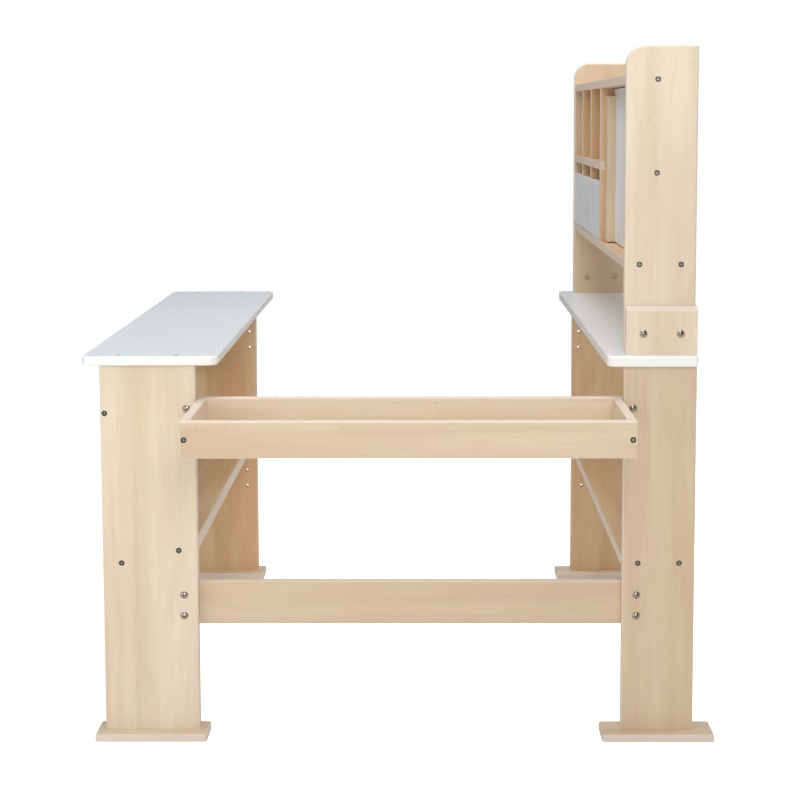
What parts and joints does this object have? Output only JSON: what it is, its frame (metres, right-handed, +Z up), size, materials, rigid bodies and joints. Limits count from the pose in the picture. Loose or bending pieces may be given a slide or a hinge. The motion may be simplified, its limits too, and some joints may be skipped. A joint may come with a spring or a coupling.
{
  "type": "play workbench",
  "caption": "Plywood play workbench: a left and a right counter joined by an open tray and a stretcher, with a hutch of pigeonholes, drawers and a cupboard.",
  "frame": {"origin": "on the floor, under the middle of the unit's bounding box", "axes": "+X from the left counter to the right counter with the hutch, +Y along the counters away from the tray, +Z up"},
  "size_m": [1.008, 1.1024, 1.11],
  "materials": {
    "birch_plywood": "clear matt lacquer over birch veneer",
    "thin_plywood": "thin birch plywood, clear matt lacquer",
    "white_laminate": "white satin melamine facing on board",
    "zinc_screws": "zinc-plated steel",
    "nickel_bolts": "polished nickel-plated steel",
    "brass_sleeves": "satin brass-plated steel",
    "steel_pins": "bright drawn steel"
  },
  "bodies": {
    "frame": {"foot_near_left": "birch_plywood", "foot_near_right": "birch_plywood", "foot_far_left": "birch_plywood", "foot_far_right": "birch_plywood", "leg_near_left": "birch_plywood", "leg_near_right": "birch_plywood", "leg_far_left": "birch_plywood", "leg_far_right": "birch_plywood", "left_counter_top": "white_laminate", "right_counter_top": "white_laminate", "left_fascia": "birch_plywood", "left_sloping_shelf": "birch_plywood", "left_shelf_lip": "birch_plywood", "right_level_shelf": "birch_plywood", "stretcher": "birch_plywood", "tray_back": "birch_plywood", "tray_front": "birch_plywood", "tray_end_left": "birch_plywood", "tray_end_right": "birch_plywood", "tray_bottom": "thin_plywood", "hutch_side_near": "birch_plywood", "hutch_side_far": "birch_plywood", "hutch_cleat_near": "birch_plywood", "hutch_cleat_far": "birch_plywood", "hutch_top_shelf": "birch_plywood", "hutch_middle_shelf": "birch_plywood", "hutch_low_shelf": "birch_plywood", "hutch_back": "thin_plywood", "drawer_wall": "birch_plywood", "drawer_divider_1": "birch_plywood", "drawer_divider_2": "birch_plywood", "pigeonhole_wall": "birch_plywood", "pigeonhole_divider_1": "birch_plywood", "pigeonhole_divider_2": "birch_plywood", "door_pins": "steel_pins", "counter_screws": "zinc_screws", "foot_screws": "zinc_screws", "shelf_screws": "zinc_screws", "tray_screws": "zinc_screws", "hutch_screws": "zinc_screws", "frame_bolts": "nickel_bolts", "hutch_bolts": "nickel_bolts", "sleeve_nuts": "brass_sleeves"},
    "door": {"cupboard_door": "white_laminate", "cupboard_pull": "birch_plywood"},
    "drawer_1": {"drawer_1_front": "white_laminate", "drawer_1_side_near": "birch_plywood", "drawer_1_side_far": "birch_plywood", "drawer_1_back": "birch_plywood", "drawer_1_bottom": "thin_plywood"},
    "drawer_2": {"drawer_2_front": "white_laminate", "drawer_2_side_near": "birch_plywood", "drawer_2_side_far": "birch_plywood", "drawer_2_back": "birch_plywood", "drawer_2_bottom": "thin_plywood"},
    "drawer_3": {"drawer_3_front": "white_laminate", "drawer_3_side_near": "birch_plywood", "drawer_3_side_far": "birch_plywood", "drawer_3_back": "birch_plywood", "drawer_3_bottom": "thin_plywood"}
  },
  "joints": [
    {"name": "door_hinge", "type": "hinge", "parent": "frame", "child": "door", "pos_m": [0.3875, -0.33025, 0.775], "axis": [0, 0, 1], "range_deg": [0, 90]},
    {"name": "drawer_1_slide", "type": "slide", "parent": "frame", "child": "drawer_1", "axis": [-1, 0, 0], "range_m": [0, 0.08]},
    {"name": "drawer_2_slide", "type": "slide", "parent": "frame", "child": "drawer_2", "axis": [-1, 0, 0], "range_m": [0, 0.08]},
    {"name": "drawer_3_slide", "type": "slide", "parent": "frame", "child": "drawer_3", "axis": [-1, 0, 0], "range_m": [0, 0.08]}
  ]
}
